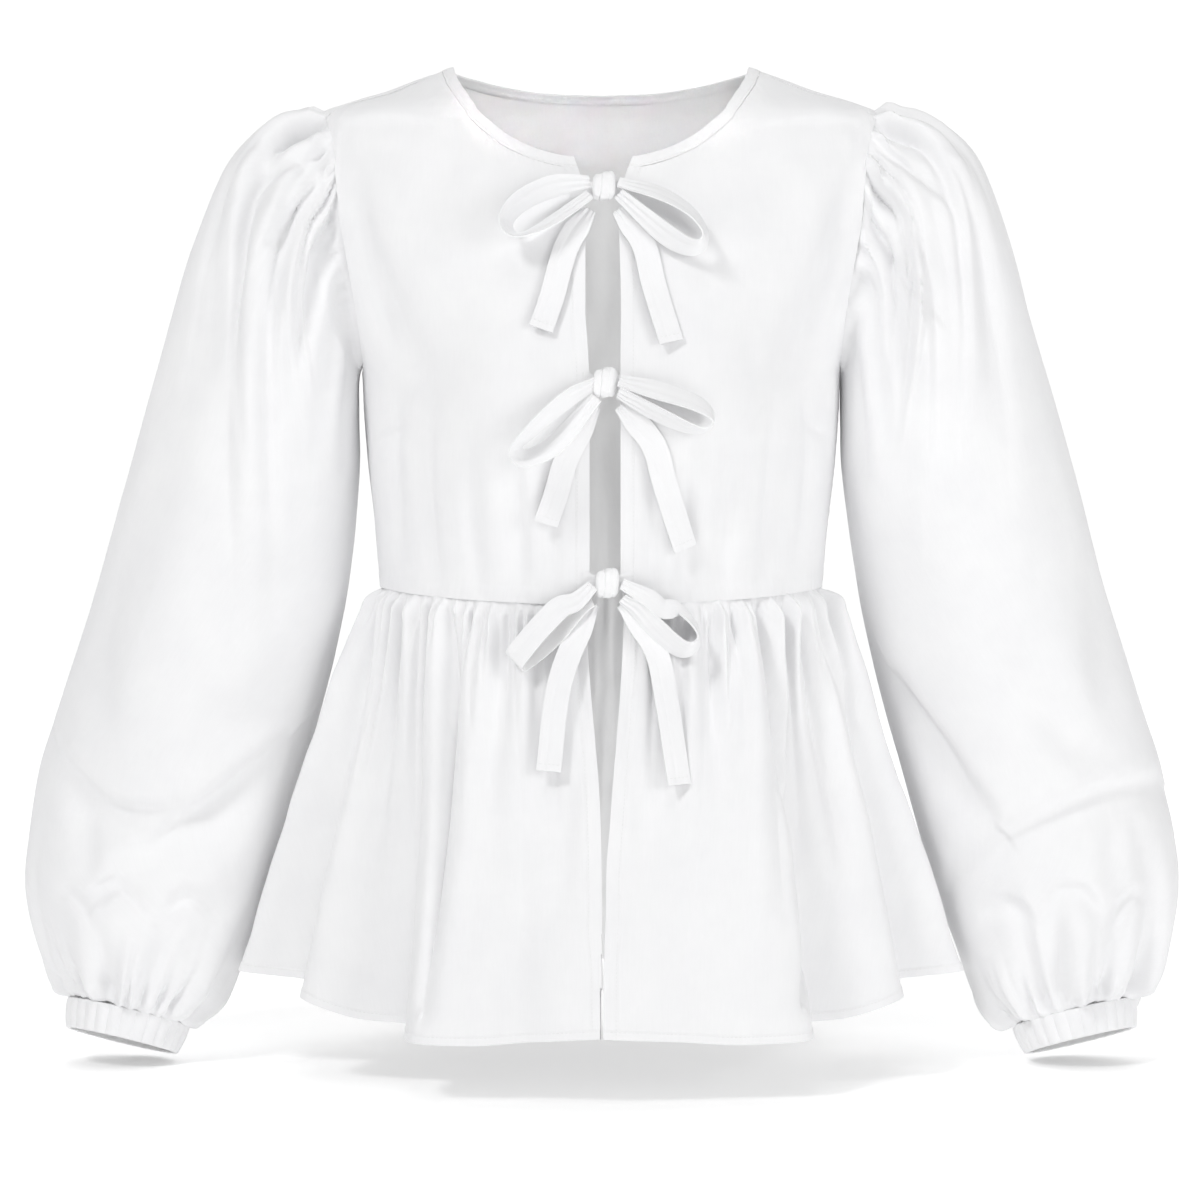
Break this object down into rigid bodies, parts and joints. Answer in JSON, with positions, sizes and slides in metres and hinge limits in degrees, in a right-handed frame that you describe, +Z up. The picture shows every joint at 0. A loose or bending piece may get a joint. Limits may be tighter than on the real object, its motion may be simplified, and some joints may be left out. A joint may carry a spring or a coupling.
{
  "type": "peplum blouse",
  "caption": "Hollow filled-out blouse with full sleeves gathered into narrow elastic cuffs, an open front tied with ribbon bows and a gathered peplum below the waist.",
  "frame": {"origin": "midway between the two points where the shoulder seams meet the neck, where the blouse hangs from its wearer", "axes": "+X towards the wearer's left, -Y out of the front, +Z up"},
  "size_m": [0.75, 0.3543, 0.6385],
  "materials": {
    "cloth": "white cotton poplin, matt",
    "ribbon": "doubled white cotton poplin, matt"
  },
  "bodies": {
    "root": {"bodice_back": "cloth", "bodice_front_left": "cloth", "bodice_front_right": "cloth", "cuff_left": "cloth", "cuff_right": "cloth", "neck_band_back": "cloth", "neck_band_front_left": "cloth", "neck_band_front_right": "cloth", "peplum_back": "cloth", "peplum_front_left": "cloth", "peplum_front_right": "cloth", "sleeve_left": "cloth", "sleeve_right": "cloth", "tie_1_knot": "ribbon", "tie_1_loop_left": "ribbon", "tie_1_loop_right": "ribbon", "tie_1_tail_left": "ribbon", "tie_1_tail_right": "ribbon", "tie_2_knot": "ribbon", "tie_2_loop_left": "ribbon", "tie_2_loop_right": "ribbon", "tie_2_tail_left": "ribbon", "tie_2_tail_right": "ribbon", "tie_3_knot": "ribbon", "tie_3_loop_left": "ribbon", "tie_3_loop_right": "ribbon", "tie_3_tail_left": "ribbon", "tie_3_tail_right": "ribbon"}
  },
  "joints": []
}
